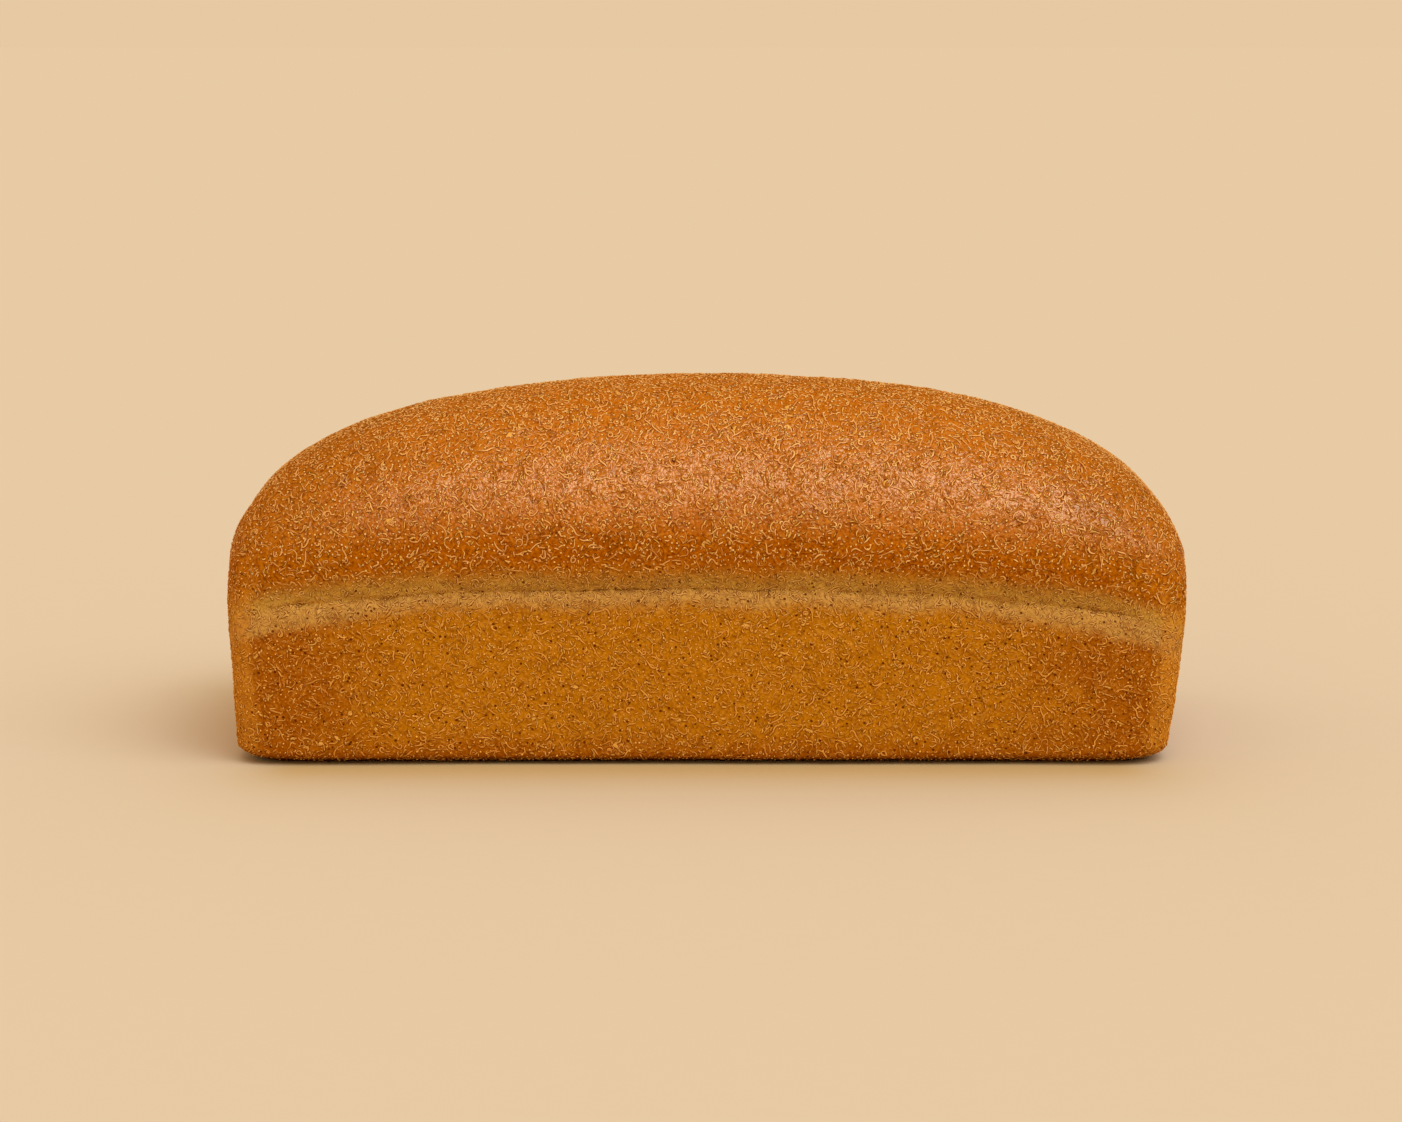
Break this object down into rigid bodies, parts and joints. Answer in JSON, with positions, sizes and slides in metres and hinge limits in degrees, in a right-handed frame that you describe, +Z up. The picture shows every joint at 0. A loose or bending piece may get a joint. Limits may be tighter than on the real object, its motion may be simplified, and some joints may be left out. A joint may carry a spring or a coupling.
{
  "type": "tin loaf",
  "caption": "Uncut wholemeal loaf baked in an open tin, with straight leaning walls, a crease along both sides and a long rounded crown.",
  "frame": {"origin": "middle of the flat base that the loaf rests on", "axes": "+X along the loaf, +Y across it towards the back, +Z up through the crown"},
  "size_m": [0.2674, 0.1144, 0.1034],
  "materials": {
    "crust": "brown baked crust, satin on the crown and dull on the walls"
  },
  "bodies": {
    "root": {"loaf": "crust"}
  },
  "joints": []
}
